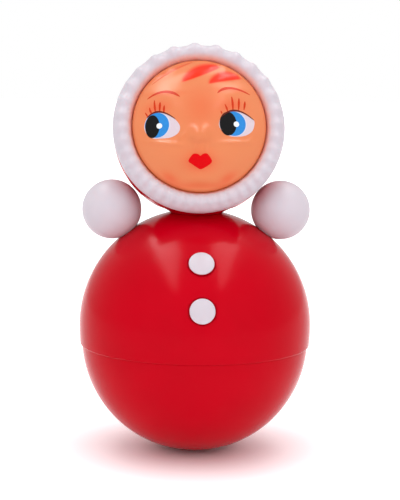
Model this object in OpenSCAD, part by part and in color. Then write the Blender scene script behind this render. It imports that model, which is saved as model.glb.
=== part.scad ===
/* [Body] */
// Outside radius of the round lower shell, which the toy rocks on
lower_r = 57; // [52:0.5:62]
// Wall of the two body shells
wall = 2.2; // [1.8:0.1:2.8]
// How far the upper shell stands proud of the lower one at the seam
rim_step = 1.2; // [0.9:0.1:1.5]
// How far the seam lies below the equator of the lower shell
seam_drop = 3; // [2:0.1:3.5]
// Straight band of the upper shell between the seam and its dome
band_h = 9.6; // [8.5:0.1:11]
// Height of the lower shell's lip inside the upper shell
lip_h = 4.5; // [3:0.5:6]
// Thickness of that lip
lip_t = 1.6; // [1.2:0.1:2]
// Glue gap between the lip and the upper shell
lip_gap = 0.1; // [0.05:0.01:0.2]

/* [Gate] */
// Radius of the sunk moulding gate in the bottom, on whose rim the toy comes to rest
gate_r = 3.5; // [3:0.1:4.5]
// Depth of that gate
gate_depth = 0.6; // [0.4:0.1:0.8]

/* [Neck] */
// Radius of the flat seat that the neck stands on
neck_r = 13.3; // [12.5:0.1:14.5]
// Height of the flared neck of the hood
neck_h = 3.6; // [3.4:0.1:5]
// Radius at which the neck runs into the round of the hood
flare_r = 20.6; // [19:0.1:22]
// Radius of the tube that the head turns on
pivot_tube_r = 9.5; // [8.5:0.1:10]
// Wall of that tube
pivot_tube_wall = 2; // [1.5:0.1:2.5]
// Floor of the hood, held between the dome and the neck clip
hood_floor_t = 2.7; // [2:0.1:3.2]
// Width of the neck clip round the tube
neck_clip_w = 2.8; // [2:0.1:3]
// Thickness of the neck clip
neck_clip_t = 2; // [1.5:0.1:2.5]
// Running clearance round the tube
turn_gap = 0.06; // [0.03:0.01:0.1]
// Play above and below the hood's floor
head_play = 0.15; // [0.1:0.05:0.3]

/* [Hood] */
// Radius of the round hood
hood_r = 41.8; // [41:0.1:42.2]
// Wall of the hood
hood_wall = 2.2; // [1.6:0.1:2.8]
// How far the head leans back, in degrees
head_tilt = 15; // [8:1:16]
// How far the hood reaches in front of the middle of the head
hood_reach = 9; // [8:0.1:10]

/* [Trim] */
// How far the white trim stands proud of the round of the hood
trim_proud = 0.5; // [0:0.1:0.8]
// Width of the trim from its outside to the opening for the face
trim_w = 9.3; // [8.8:0.1:10]
// Depth of the flutes
flute_depth = 0.8; // [0.3:0.1:1.2]
// Number of flutes round the trim
flutes = 36; // [24:1:44]
// How far the crest of the trim stands in front of the middle of the head
trim_crest = 19.6; // [18:0.1:20.5]
// Thickness of the spigot that locates the trim in the hood and traps the face's flange
spigot_t = 2.3; // [2.1:0.1:2.8]
// Length of that spigot
spigot_l = 1.5; // [1:0.1:1.8]

/* [Face] */
// Gap between the face and the opening of the trim
face_gap = 0.4; // [0.2:0.1:0.6]
// Rise of the face from its edge to its middle
face_bulge = 11.5; // [9:0.1:13]
// Wall of the face
face_wall = 2; // [1.6:0.1:2.4]
// Width of the flange that holds the face behind the trim
flange_w = 3; // [2:0.1:3.2]
// Thickness of that flange
flange_t = 1.8; // [1.2:0.1:2.2]
// Height of the face's plain edge in front of the flange
face_edge_h = 3.4; // [2.5:0.1:4.5]
// Rounding of the face's edge
face_roll = 1.2; // [0.8:0.1:2]

/* [Hands] */
// Radius of the white ball hands
hand_r = 14.8; // [13:0.1:15]
// Wall of the hollow hands
hand_wall = 1.8; // [1.4:0.1:2.4]
// How far the hands are dished where they sit on the dome
hand_sink = 1.1; // [1:0.1:1.6]
// Angle of the hands above the horizontal, in degrees
hand_angle = 54; // [50:0.5:54]
// Solid floor of a hand above the dome
hand_floor = 2.4; // [2:0.1:3]
// Radius of the screw boss inside a hand
hand_boss_r = 4; // [3.2:0.1:5]
// Height of that boss above the dome
hand_boss_h = 10; // [8:0.1:12]

/* [Buttons] */
// Radius of a button
button_r = 6.1; // [5:0.1:7]
// Height of a button's crown above the dome
button_h = 2.1; // [1.6:0.1:2.6]
// Radius of the crown's curve
button_crown_r = 16; // [12:0.5:24]
// Angle of the lower button above the horizontal, in degrees
lower_button_angle = 16; // [14:0.5:20]
// Angle of the upper button above the horizontal, in degrees
upper_button_angle = 39.5; // [37:0.5:46]
// Radius of a button's stem
stem_r = 2; // [1.5:0.1:2.5]
// Length of a button's stem inside the dome
stem_l = 2.4; // [2:0.1:3]
// Radius of the clip on a stem
stem_clip_r = 5; // [4:0.1:6]
// Thickness of that clip
stem_clip_t = 1; // [0.8:0.1:1.4]

/* [Counterweight] */
// Height of the counterweight over its middle
weight_h = 17.4; // [15:0.1:20]
// Glue gap under the counterweight
weight_gap = 0.2; // [0.1:0.05:0.3]
// Distance of the fixing bosses from the axis
boss_circle_r = 31; // [30:0.5:32]
// Radius of a fixing boss
boss_r = 4; // [3.4:0.1:4.2]
// Thread depth of the fixing screws in the bosses
boss_depth = 5.2; // [4:0.1:5.5]

/* [Screws] */
// Shank radius of the self-tapping screws
screw_r = 1.45; // [1.2:0.05:1.6]
// Head radius of the screws
screw_head_r = 3; // [2.6:0.1:3.2]
// Head height of the screws
screw_head_h = 2; // [1.6:0.1:2.4]

/* [Chime] */
// Number of chime rods, each with its hammer
chimes = 4; // [3:1:5]
// Gap between the chime frame's plate and the bowl
plate_gap = 3.7; // [2:0.1:4]
// Radius of the hole in the middle of that plate
plate_hole_r = 13; // [10:0.5:16]
// Thickness of that plate
plate_t = 3.5; // [2.5:0.1:4.5]
// Height of the hammers' pivots above the counterweight
pivot_rise = 57; // [52:0.5:60]
// Distance of the pillars from the axis
pillar_circle_r = 29; // [27:0.5:31]
// Radius of a pillar
pillar_r = 2.8; // [2.2:0.1:3.4]
// Thickness of the spokes over the hammers
spoke_t = 3.5; // [2.5:0.1:4.5]
// Width of those spokes
spoke_w = 5; // [4:0.1:5.6]
// Distance of the chime rods from the axis
rod_circle_r = 24; // [23.5:0.1:25]
// Radius of a chime rod
rod_r = 1.2; // [1:0.05:1.4]
// Iron left under a chime rod
rod_floor = 2.4; // [1.5:0.1:4]
// Free length of the shortest chime rod
rod_l = 34; // [33:0.5:36]
// Step in length from one chime rod to the next
rod_step = 5; // [2:0.5:6]

/* [Hammers] */
// Distance of the hammers' pivots from the axis
hammer_circle_r = 11; // [10.5:0.1:11.5]
// Length of a hammer from its pivot to the middle of its bead
hammer_l = 31; // [29:0.5:32]
// Width of a hammer's arm between its cheeks
arm_w = 3.6; // [3:0.1:4]
// Thickness of that arm
arm_t = 2.6; // [2:0.1:3]
// Radius of the arm's eye
eye_r = 2.8; // [2.5:0.1:3]
// Radius of a pivot pin
pin_r = 1; // [0.8:0.05:1.2]
// Running clearance of an arm on its pin
pin_gap = 0.06; // [0.03:0.01:0.1]
// Clearance between an arm and its cheeks
cheek_gap = 0.4; // [0.3:0.05:0.6]
// Thickness of a cheek
cheek_t = 3; // [2:0.1:3.2]
// Radius of a hammer's bead
bead_r = 4.2; // [3.6:0.1:4.4]
// Radius of the peg that carries the bead
peg_r = 1.3; // [1:0.05:1.5]

/* [Hidden] */
$fn = 96;
// Overrun of every cut past the face that it opens
overrun = 1;
// Press clearance of pins, rods, clips and beads
press_gap = 0.02;
// Gap between pieces that are seated on a curved face
seat_gap = 0.1;
// Free clearance round a screw or a stem in a wall
free_gap = 0.3;
// Chamfer of the upper shell's rim and of the screw heads
edge_chamfer = 0.4;
// Depth by which the lip roots in the lower shell
lip_root = 3;
// Depth by which the neck's flare ends inside the wall of the hood
flare_sink = 0.3;
// Length of the pivot tube above the neck clip
tube_end = 0.6;
// Room round the neck clip inside the hood
clip_room = 0.5;
// Free clearance of a chime rod in the plate
rod_gap = 1;
// Free end of a peg below its bead
peg_end = 0.5;
// Room behind an arm's eye in its slot
slot_back = 0.6;
// Hub below and above the pins
hub_below = 3.5;
hub_above = 2.7;
// Room from the end of a cheek to the eye
cheek_end = 1.2;
// Trim: angle at which its inner round ends, and the angle from point to point
lip_angle = 160;
trim_step_angle = 17;
flute_points = 5;
// Face: points round it and from its middle to its edge
face_sides = 72;
face_rings = 17;
back_rings = 6;

// The face's relief as shares of its radius: across, up, half length, half width, rise, then its turn
relief_shares = [
    [0, -0.2, 0.12, 0.1, 0.06, 0],
    [0, -0.05, 0.08, 0.16, 0.022, 0],
    [-0.085, -0.24, 0.06, 0.055, 0.016, 0],
    [0.085, -0.24, 0.06, 0.055, 0.016, 0],
    [-0.56, -0.04, 0.27, 0.2, -0.05, 0],
    [0.54, -0.02, 0.27, 0.2, -0.05, 0],
    [-0.54, -0.31, 0.22, 0.055, 0.018, -8],
    [0.53, -0.29, 0.22, 0.055, 0.018, 8],
    [-0.42, -0.48, 0.26, 0.22, 0.032, 0],
    [0.42, -0.48, 0.26, 0.22, 0.032, 0],
    [-0.54, 0.44, 0.28, 0.1, 0.02, 0],
    [0.52, 0.48, 0.28, 0.1, 0.02, 0],
    [0, -0.59, 0.19, 0.12, 0.035, 0],
    [0, -0.85, 0.24, 0.1, 0.03, 0],
    [0.02, 0.78, 0.28, 0.085, 0.035, 24],
    [0.37, 0.71, 0.26, 0.085, 0.035, 12],
    [-0.42, 0.8, 0.3, 0.07, 0.028, 26]
];

// Inside radius of the bowl at a height, and the height of its inside at a radius
function bowl_radius(z) = sqrt(pow(lower_r - wall, 2) - pow(ball_z - z, 2));
function bowl_floor(r) = ball_z - sqrt(pow(lower_r - wall, 2) - r * r);

// Heights and radii that the pieces share
upper_r = lower_r + rim_step;
ball_z = sqrt(lower_r * lower_r - gate_r * gate_r);
seam_z = ball_z - seam_drop;
dome_z = seam_z + band_h;
dome_inner_r = upper_r - wall;
lip_r = dome_inner_r - lip_gap;
neck_z = dome_z + sqrt(upper_r * upper_r - neck_r * neck_r);
hood_floor_z = neck_z + head_play;
hood_floor_top = hood_floor_z + hood_floor_t;
neck_clip_z = hood_floor_top + head_play;
neck_clip_r = pivot_tube_r + press_gap + neck_clip_w;
tube_top = neck_clip_z + neck_clip_t + tube_end;
head_z = hood_floor_z + neck_h + sqrt(hood_r * hood_r - flare_r * flare_r);
weight_top = bowl_floor(0) + weight_gap + weight_h;
plate_top = weight_top + plate_t;
plate_r = bowl_radius(weight_top) - plate_gap;
rod_z = bowl_floor(rod_circle_r + rod_r) + rod_floor;
pivot_z = weight_top + pivot_rise;
spoke_z = pivot_z + hub_above;
slot_w = arm_w + 2 * cheek_gap;
hub_w = slot_w + 2 * cheek_t;
hub_reach = hammer_circle_r + eye_r + cheek_end;
hub_h = spoke_z + spoke_t - pivot_z + hub_below;

// Trim and face, along the axis of the face from the middle of the head
trim_r = hood_r + trim_proud;
opening_r = trim_r - trim_w;
crest_r = (trim_r + opening_r) / 2;
trim_wide_z = hood_reach + flute_depth + spigot_l;
trim_rise = trim_crest - trim_wide_z;
trim_out = trim_r - crest_r;
trim_in = (crest_r - opening_r) / -cos(lip_angle);
trim_back_angle = -asin((trim_wide_z - hood_reach) / trim_rise);
lip_front = trim_wide_z + trim_rise * sin(lip_angle);
face_r = opening_r - face_gap;
flange_r = face_r + flange_w;
flange_top = lip_front - face_gap;
flange_back = flange_top - flange_t;
face_edge = flange_top + face_edge_h;
face_curve_r = (face_r * face_r + face_bulge * face_bulge) / (2 * face_bulge);
spigot_r = sqrt(pow(hood_r - hood_wall, 2) - hood_reach * hood_reach) - seat_gap;
hand_reach = upper_r + hand_r - hand_sink;

chime_angle = 360 / chimes;
boss_angle = chime_angle / 4;
pillar_angle = chime_angle / 2;
CHIMES = [0 : chimes - 1];

// A ball cut off below its middle, on a straight skirt, as a half section
module dome_section(r, foot_z) {
    intersection() {
        translate([0, dome_z]) circle(r = r);
        translate([0, dome_z]) square([r + overrun, r + overrun]);
    }
    translate([0, foot_z]) square([r, dome_z - foot_z]);
}

// A ball below a height, as a half section
module bowl_section(r, top_z) {
    intersection() {
        translate([0, ball_z]) circle(r = r);
        translate([0, -overrun]) square([r + overrun, top_z + overrun]);
    }
}

// Places the children on a spoke of the body, turned to the given angle
module round_axis(r, angle, z) {
    rotate([0, 0, angle]) translate([r, 0, z]) children();
}

// Places the children along a line from the middle of the dome through a button
module on_front(angle) {
    translate([0, 0, dome_z]) rotate([90 - angle, 0, 0]) children();
}

// Places the children along a line from the middle of the dome through a hand
module on_side(side) {
    translate([0, 0, dome_z]) rotate([0, side * (90 - hand_angle), 0]) children();
}

// Places the children on the axis of the face, which leans back with the head
module in_head() {
    translate([0, 0, head_z]) rotate([90 - head_tilt, 0, 0]) children();
}

// A pan-head screw that points along +Z, with the underside of its head at zero
module screw(length) {
    cylinder(r = screw_r, h = length);
    translate([0, 0, -screw_head_h]) {
        cylinder(r1 = screw_head_r - edge_chamfer, r2 = screw_head_r, h = edge_chamfer);
        translate([0, 0, edge_chamfer]) cylinder(r = screw_head_r, h = screw_head_h - edge_chamfer);
    }
}

// The places where the chime frame and the counterweight are screwed down
module at_bosses(z) {
    for (i = CHIMES) round_axis(boss_circle_r, chime_angle * i + boss_angle, z) children();
}

// Bowl with a sunk gate, a lip for the upper shell and bosses for the screws of the chime frame
module lower_shell() {
    color("crimson") difference() {
        union() {
            rotate_extrude() difference() {
                union() {
                    bowl_section(lower_r, seam_z);
                    translate([lip_r - lip_t, seam_z - lip_root]) square([lip_t, lip_root + lip_h]);
                }
                difference() {
                    bowl_section(lower_r - wall, seam_z + overrun);
                    translate([lip_r - lip_t, seam_z - lip_root]) square([lip_t, lip_root + lip_h]);
                }
                translate([0, -overrun]) square([gate_r, overrun + gate_depth]);
            }
            intersection() {
                translate([0, 0, ball_z]) sphere(r = lower_r - wall / 2);
                at_bosses(0) cylinder(r = boss_r, h = weight_top);
            }
        }
        at_bosses(weight_top - boss_depth - overrun) {
            cylinder(r = screw_r + press_gap, h = boss_depth + 2 * overrun);
        }
    }
}

// Dome with a proud rim, a flat neck seat and the tube that the head turns on
module upper_shell() {
    color("crimson") difference() {
        rotate_extrude() difference() {
            union() {
                intersection() {
                    dome_section(upper_r, seam_z);
                    square([upper_r, neck_z]);
                }
                translate([0, dome_z]) square([pivot_tube_r, tube_top - dome_z]);
            }
            dome_section(dome_inner_r, seam_z - overrun);
            translate([0, dome_z]) square([pivot_tube_r - pivot_tube_wall, tube_top - dome_z + overrun]);
            polygon([
                [upper_r - edge_chamfer, seam_z],
                [upper_r + overrun, seam_z + edge_chamfer + overrun],
                [upper_r + overrun, seam_z]
            ]);
        }
        for (angle = [lower_button_angle, upper_button_angle]) {
            on_front(angle) translate([0, 0, dome_inner_r - wall]) {
                cylinder(r = stem_r + free_gap, h = 3 * wall);
            }
        }
        for (side = [-1, 1]) {
            on_side(side) translate([0, 0, dome_inner_r - wall]) {
                cylinder(r = screw_r + free_gap, h = 3 * wall);
            }
        }
    }
}

// Cast slug in the bottom of the bowl, bored for the bosses and the chime rods
module counterweight() {
    color("dimgray") difference() {
        intersection() {
            translate([0, 0, ball_z]) sphere(r = lower_r - wall - weight_gap);
            cylinder(r = lower_r, h = weight_top);
        }
        at_bosses(-overrun) cylinder(r = boss_r + free_gap, h = weight_top + 2 * overrun);
        for (i = CHIMES) {
            round_axis(rod_circle_r, chime_angle * i, rod_z) {
                cylinder(r = rod_r + press_gap, h = weight_top - rod_z + overrun);
            }
        }
    }
}

// Screws through the chime frame into the bosses
module base_screws() {
    color("silver") at_bosses(plate_top) rotate([180, 0, 0]) screw(plate_t + boss_depth);
}

// Plate, pillars and spokes that carry the hammers over the counterweight
module chime_frame() {
    color("ivory") difference() {
        union() {
            translate([0, 0, weight_top]) cylinder(r = plate_r, h = plate_t);
            for (i = CHIMES) {
                round_axis(pillar_circle_r, chime_angle * i + pillar_angle, weight_top) {
                    cylinder(r = pillar_r, h = spoke_z + spoke_t - weight_top);
                }
            }
            for (i = CHIMES) {
                rotate([0, 0, chime_angle * i + pillar_angle]) translate([0, -spoke_w / 2, spoke_z]) {
                    cube([pillar_circle_r, spoke_w, spoke_t]);
                }
                rotate([0, 0, chime_angle * i]) translate([0, -hub_w / 2, pivot_z - hub_below]) {
                    cube([hub_reach, hub_w, hub_h]);
                }
            }
        }
        translate([0, 0, weight_top - overrun]) cylinder(r = plate_hole_r, h = plate_t + 2 * overrun);
        at_bosses(weight_top - overrun) cylinder(r = screw_r + free_gap, h = plate_t + 2 * overrun);
        for (i = CHIMES) {
            round_axis(rod_circle_r, chime_angle * i, weight_top - overrun) {
                cylinder(r = rod_r + rod_gap, h = plate_t + 2 * overrun);
            }
            hammer_slot(chime_angle * i);
            round_axis(hammer_circle_r, chime_angle * i, pivot_z) rotate([90, 0, 0]) {
                cylinder(r = pin_r + press_gap, h = hub_w + 2 * overrun, center = true);
            }
        }
    }
}

// The slot between two cheeks that a hammer hangs in
module hammer_slot(angle) {
    slot_start = hammer_circle_r - eye_r - slot_back;
    rotate([0, 0, angle]) translate([slot_start, -slot_w / 2, pivot_z - hub_below - overrun]) {
        cube([hub_reach - slot_start + overrun, slot_w, hub_h + 2 * overrun]);
    }
}

// Steel pins across the cheeks
module hammer_pins() {
    color("silver") for (i = CHIMES) {
        round_axis(hammer_circle_r, chime_angle * i, pivot_z) rotate([90, 0, 0]) {
            cylinder(r = pin_r, h = hub_w, center = true);
        }
    }
}

// Steel rod pressed into the counterweight, each a step longer than the last
module chime_rod(i) {
    color("silver") round_axis(rod_circle_r, chime_angle * i, rod_z) {
        cylinder(r = rod_r, h = weight_top - rod_z + rod_l + rod_step * i);
    }
}

// Arm that hangs from its eye and ends in a peg for the bead
module hammer_arm(i) {
    bar_l = hammer_l - bead_r;
    color("khaki") round_axis(hammer_circle_r, chime_angle * i, pivot_z) difference() {
        union() {
            rotate([90, 0, 0]) cylinder(r = eye_r, h = arm_w, center = true);
            translate([-arm_t / 2, -arm_w / 2, -bar_l]) cube([arm_t, arm_w, bar_l]);
            translate([0, 0, -hammer_l - bead_r - peg_end]) {
                cylinder(r = peg_r, h = 2 * bead_r + peg_end + overrun);
            }
        }
        rotate([90, 0, 0]) cylinder(r = pin_r + pin_gap, h = arm_w + 2 * overrun, center = true);
    }
}

// Bored bead pressed on the peg of an arm
module hammer_bead(i) {
    color("goldenrod") round_axis(hammer_circle_r, chime_angle * i, pivot_z - hammer_l) difference() {
        sphere(r = bead_r);
        cylinder(r = peg_r + press_gap, h = 2 * bead_r + 2 * overrun, center = true);
    }
}

// Domed button whose stem goes through the upper shell
module button(angle) {
    color("whitesmoke") on_front(angle) rotate_extrude() {
        difference() {
            intersection() {
                square([button_r, upper_r + button_h]);
                translate([0, upper_r + button_h - button_crown_r]) circle(r = button_crown_r);
            }
            circle(r = upper_r + seat_gap);
        }
        translate([0, dome_inner_r - stem_l]) square([stem_r, stem_l + wall + button_h / 2]);
    }
}

// Push-on clips that hold the two stems from inside
module button_clips() {
    seat = sqrt(dome_inner_r * dome_inner_r - stem_clip_r * stem_clip_r);
    color("silver") for (angle = [lower_button_angle, upper_button_angle]) {
        on_front(angle) rotate_extrude() translate([stem_r + press_gap, seat - stem_clip_t]) {
            square([stem_clip_r - stem_r - press_gap, stem_clip_t]);
        }
    }
}

// Hollow ball, dished to sit on the dome, with a boss for its screw
module hand(side) {
    color("whitesmoke") on_side(side) difference() {
        union() {
            difference() {
                translate([0, 0, hand_reach]) sphere(r = hand_r);
                intersection() {
                    translate([0, 0, hand_reach]) sphere(r = hand_r - hand_wall);
                    translate([0, 0, upper_r + hand_floor]) cylinder(r = hand_r, h = 2 * hand_r);
                }
            }
            translate([0, 0, upper_r + hand_floor / 2]) {
                cylinder(r = hand_boss_r, h = hand_boss_h - hand_floor / 2);
            }
        }
        sphere(r = upper_r + seat_gap);
        cylinder(r = screw_r + press_gap, h = upper_r + hand_boss_h - hand_wall);
    }
}

// Two screws from inside the dome into the bosses of the hands
module hand_screws() {
    seat = sqrt(dome_inner_r * dome_inner_r - screw_head_r * screw_head_r);
    color("silver") for (side = [-1, 1]) {
        on_side(side) translate([0, 0, seat]) screw(upper_r + hand_boss_h - 2 * hand_wall - seat);
    }
}

// Ring pressed on the pivot tube, which keeps the head on the dome
module neck_clip() {
    color("ivory") translate([0, 0, neck_clip_z]) rotate_extrude() {
        translate([neck_clip_r - neck_clip_w, 0]) square([neck_clip_w, neck_clip_t]);
    }
}

// Round back of the head with a flared neck, open in front for the trim
module hood_back() {
    flare_z = hood_floor_z + neck_h;
    color("crimson") difference() {
        union() {
            translate([0, 0, head_z]) sphere(r = hood_r);
            translate([0, 0, hood_floor_z]) cylinder(r1 = neck_r, r2 = flare_r - flare_sink, h = neck_h);
        }
        intersection() {
            translate([0, 0, head_z]) sphere(r = hood_r - hood_wall);
            translate([0, 0, hood_floor_top]) cylinder(r = hood_r, h = 2 * hood_r);
        }
        translate([0, 0, hood_floor_top]) {
            cylinder(r = neck_clip_r + clip_room, h = flare_z - hood_floor_top);
        }
        translate([0, 0, hood_floor_z - overrun]) {
            cylinder(r = pivot_tube_r + turn_gap, h = hood_floor_t + 2 * overrun);
        }
        translate([0, 0, hood_floor_z - hood_r]) cylinder(r = hood_r, h = hood_r);
        in_head() translate([0, 0, hood_reach]) cylinder(r = 2 * hood_r, h = 2 * hood_r);
    }
}

// Triangles between the points of neighbouring rows, each row closed on itself
function band_faces(rows, sides, closed) = [
    for (row = [0 : rows - (closed ? 1 : 2)], side = [0 : sides - 1])
        let (next = (row + 1) % rows, right = (side + 1) % sides)
        each [
            [row * sides + side, row * sides + right, next * sides + right],
            [row * sides + side, next * sides + right, next * sides + side]
        ]
];

// Triangles from one point to a row
function fan_faces(tip, row, sides, up) = [
    for (side = [0 : sides - 1])
        let (a = row * sides + side, b = row * sides + (side + 1) % sides)
        up ? [tip, b, a] : [tip, a, b]
];

function flat(rows) = [for (row = rows) each row];

// Depth of the flutes round the trim: nought on a lobe, one in the groove between two lobes
function flute_dip(angle) = 1 - abs(cos(flutes * angle / 2));

// A point of the trim's outer round: the flutes fade where it turns in to the face
function trim_point(round_angle, angle) =
    let (
        half_w = round_angle > 90 ? trim_in : trim_out,
        fade = round_angle > 90 ? (lip_angle - round_angle) / (lip_angle - 90) : 1,
        dip = flute_depth * fade * flute_dip(angle)
    )
    [
        crest_r + half_w * cos(round_angle) - dip * cos(round_angle),
        trim_wide_z + trim_rise * sin(round_angle) - dip * sin(round_angle)
    ];

// One slice of the trim: its fluted round, then the lip, the flange groove, the spigot and the seat
function trim_slice(angle) = concat(
    [for (round_angle = [trim_back_angle : trim_step_angle : lip_angle - 1]) trim_point(round_angle, angle)],
    [
        [opening_r, lip_front],
        [opening_r, flange_top],
        [flange_r + seat_gap, flange_top],
        [flange_r + seat_gap, flange_back - seat_gap],
        [spigot_r - spigot_t, flange_back - seat_gap],
        [spigot_r - spigot_t, hood_reach - spigot_l],
        [spigot_r, hood_reach - spigot_l],
        [spigot_r, hood_reach]
    ]
);

// Scalloped white ring round the face
module hood_trim() {
    slices = flutes * flute_points;
    rows = [
        for (i = [0 : slices - 1])
            let (angle = 360 * i / slices)
            [for (p = trim_slice(angle)) [p[0] * cos(angle), p[0] * sin(angle), p[1]]]
    ];
    color("whitesmoke") in_head() {
        polyhedron(points = flat(rows), faces = band_faces(slices, len(rows[0]), true), convexity = 6);
    }
}

function total(list) = list * [for (value = list) 1];

// Rise of one feature of the face at a place given in shares of the radius
function feature_rise(place, f) =
    let (
        across = place[0] - f[0],
        up = place[1] - f[1],
        along = (across * cos(f[5]) + up * sin(f[5])) / f[2],
        aside = (up * cos(f[5]) - across * sin(f[5])) / f[3]
    )
    f[4] * exp(-along * along - aside * aside);

// The relief fades out towards the edge, which stays round
function relief(x, y) =
    let (place = [x / face_r, y / face_r], edge = min(1, norm(place)))
    face_r * (1 - pow(edge, 10)) * total([for (f = relief_shares) feature_rise(place, f)]);

function face_cap(r) = sqrt(face_curve_r * face_curve_r - r * r) - face_curve_r + face_bulge;

function edge_drop(r) =
    let (past = max(0, min(face_roll, r - face_r + face_roll)))
    face_roll - sqrt(face_roll * face_roll - past * past);

function face_row(r, z) = [
    for (i = [0 : face_sides - 1])
        let (angle = 360 * i / face_sides)
        [r * cos(angle), r * sin(angle), z]
];

function front_row(r) = [
    for (p = face_row(r, face_edge + face_cap(r) - edge_drop(r))) [p[0], p[1], p[2] + relief(p[0], p[1])]
];

// Moulded face with its relief, held by a flange behind the trim
module face_mask() {
    back_r = face_r - face_wall;
    rows = concat(
        [for (i = [1 : face_rings]) front_row(face_r * i / face_rings)],
        [
            face_row(face_r, flange_top - seat_gap),
            face_row(flange_r, flange_top - seat_gap),
            face_row(flange_r, flange_back),
            face_row(back_r, flange_back)
        ],
        [for (i = [back_rings : -1 : 1]) let (r = back_r * i / back_rings)
            face_row(r, face_edge + face_cap(r) - face_wall)]
    );
    tip = len(rows) * face_sides;
    points = concat(
        flat(rows),
        [[0, 0, face_edge + face_bulge + relief(0, 0)], [0, 0, face_edge + face_bulge - face_wall]]
    );
    faces = concat(
        band_faces(len(rows), face_sides, false),
        fan_faces(tip, 0, face_sides, true),
        fan_faces(tip + 1, len(rows) - 1, face_sides, false)
    );
    color("sandybrown") in_head() polyhedron(points = points, faces = faces, convexity = 6);
}

lower_shell();
upper_shell();
counterweight();
base_screws();
chime_frame();
hammer_pins();
for (i = CHIMES) {
    chime_rod(i);
    hammer_arm(i);
    hammer_bead(i);
}
button(upper_button_angle);  // upper_button
button(lower_button_angle);  // lower_button
button_clips();
hand(1);  // left_hand
hand(-1);  // right_hand
hand_screws();
neck_clip();
hood_back();
hood_trim();
face_mask();
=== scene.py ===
import math
import bpy
from mathutils import Euler, Matrix, Vector


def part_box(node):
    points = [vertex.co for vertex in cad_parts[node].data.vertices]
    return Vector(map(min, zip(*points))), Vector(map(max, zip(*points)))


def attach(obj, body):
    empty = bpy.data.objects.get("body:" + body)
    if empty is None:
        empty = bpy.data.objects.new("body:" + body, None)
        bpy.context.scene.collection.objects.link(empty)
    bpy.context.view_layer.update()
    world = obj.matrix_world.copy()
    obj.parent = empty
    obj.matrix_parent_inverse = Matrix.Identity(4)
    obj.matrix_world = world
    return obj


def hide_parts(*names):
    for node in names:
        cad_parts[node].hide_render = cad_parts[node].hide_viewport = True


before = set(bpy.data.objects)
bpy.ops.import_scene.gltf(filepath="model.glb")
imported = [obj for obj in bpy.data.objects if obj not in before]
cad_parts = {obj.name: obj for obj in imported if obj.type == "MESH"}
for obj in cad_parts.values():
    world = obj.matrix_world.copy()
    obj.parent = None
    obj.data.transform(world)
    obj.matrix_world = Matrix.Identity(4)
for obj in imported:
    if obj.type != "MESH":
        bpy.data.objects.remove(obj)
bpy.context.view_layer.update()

# Lower shell
# The bowl that the toy rocks on: red polystyrene, injection moulded in a polished mould.
# It has a sunk gate at its bottom. Its lip is glued into the upper shell, and four bosses
# on its floor take the screws of the chime.
MM = 0.001
EDGE = 0.25 * MM
LATHE_STEPS = 192
SHARP_ANGLE = 40


def size(length):
    """A length of the frame, to a tenth of a millimetre."""
    return round(length, 4)


def arc(centre, radius, start, end, steps):
    """Points along an arc of a half section, between two angles above the horizontal, in degrees."""
    turns = [math.radians(start + (end - start) * i / steps) for i in range(steps + 1)]
    return [(centre[0] + radius * math.cos(t), centre[1] + radius * math.sin(t)) for t in turns]


def finish_mesh():
    """Closes seams and poles of the mesh in edit mode, turns its faces out and smooths it."""
    bpy.ops.mesh.select_all(action="SELECT")
    bpy.ops.mesh.remove_doubles(threshold=0.001 * MM)
    bpy.ops.mesh.normals_make_consistent(inside=False)
    bpy.ops.object.mode_set(mode="OBJECT")
    bpy.ops.object.shade_smooth_by_angle(angle=math.radians(SHARP_ANGLE))


def turn_on_lathe(name, section, steps=LATHE_STEPS):
    """A piece turned round Z: its half section is drawn point by point, then spun."""
    bpy.ops.object.select_all(action="DESELECT")
    bpy.ops.mesh.primitive_plane_add(size=MM)
    piece = bpy.context.object
    piece.name = piece.data.name = name
    bpy.ops.object.mode_set(mode="EDIT")
    bpy.ops.mesh.merge(type="CENTER")
    bpy.ops.transform.translate(value=(section[0][0], 0, section[0][1]))
    for (r, z), (next_r, next_z) in zip(section, section[1:]):
        move = {"value": (next_r - r, 0, next_z - z)}
        bpy.ops.mesh.extrude_vertices_move(TRANSFORM_OT_translate=move)
    bpy.ops.mesh.select_all(action="SELECT")
    bpy.ops.mesh.spin(steps=steps, angle=2 * math.pi, center=(0, 0, 0), axis=(0, 0, 1))
    finish_mesh()
    return piece


def join_solid(piece, other, operation):
    """Unites another solid with a piece or cuts it out, and removes the other solid."""
    bpy.ops.object.select_all(action="DESELECT")
    piece.select_set(True)
    bpy.context.view_layer.objects.active = piece
    step = piece.modifiers.new("solid", "BOOLEAN")
    step.operation = operation
    step.object = other
    bpy.ops.object.modifier_apply(modifier=step.name)
    bpy.data.meshes.remove(other.data)


def linear(code):
    """An sRGB hex colour as linear red, green, blue and alpha."""
    shares = [int(code[i : i + 2], 16) / 255 for i in (0, 2, 4)]
    return [s / 12.92 if s <= 0.04045 else ((s + 0.055) / 1.055) ** 2.4 for s in shares] + [1.0]


def add_node(tree, kind, inputs, **settings):
    """Adds a node with its settings, and sets or links its inputs by name or number."""
    made = tree.nodes.new(kind)
    for name, value in settings.items():
        setattr(made, name, value)
    for name, value in inputs.items():
        if isinstance(value, bpy.types.NodeSocket):
            tree.links.new(value, made.inputs[name])
        else:
            made.inputs[name].default_value = value
    return made


def new_finish(name, constants):
    """A material with its constant sockets set, its tree, its shader and its object coordinates."""
    finish = bpy.data.materials.new(name)
    finish.use_nodes = True
    tree = finish.node_tree
    shader = tree.nodes["Principled BSDF"]
    for socket, value in constants.items():
        shader.inputs[socket].default_value = value
    place = add_node(tree, "ShaderNodeTexCoord", {}).outputs["Object"]
    return finish, tree, shader, place


def wear_finish(piece, finish):
    """Gives a piece or a CAD node one finish all over."""
    if not piece.material_slots:
        piece.data.materials.append(finish)
    for material_slot in piece.material_slots:
        material_slot.material = finish


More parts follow.
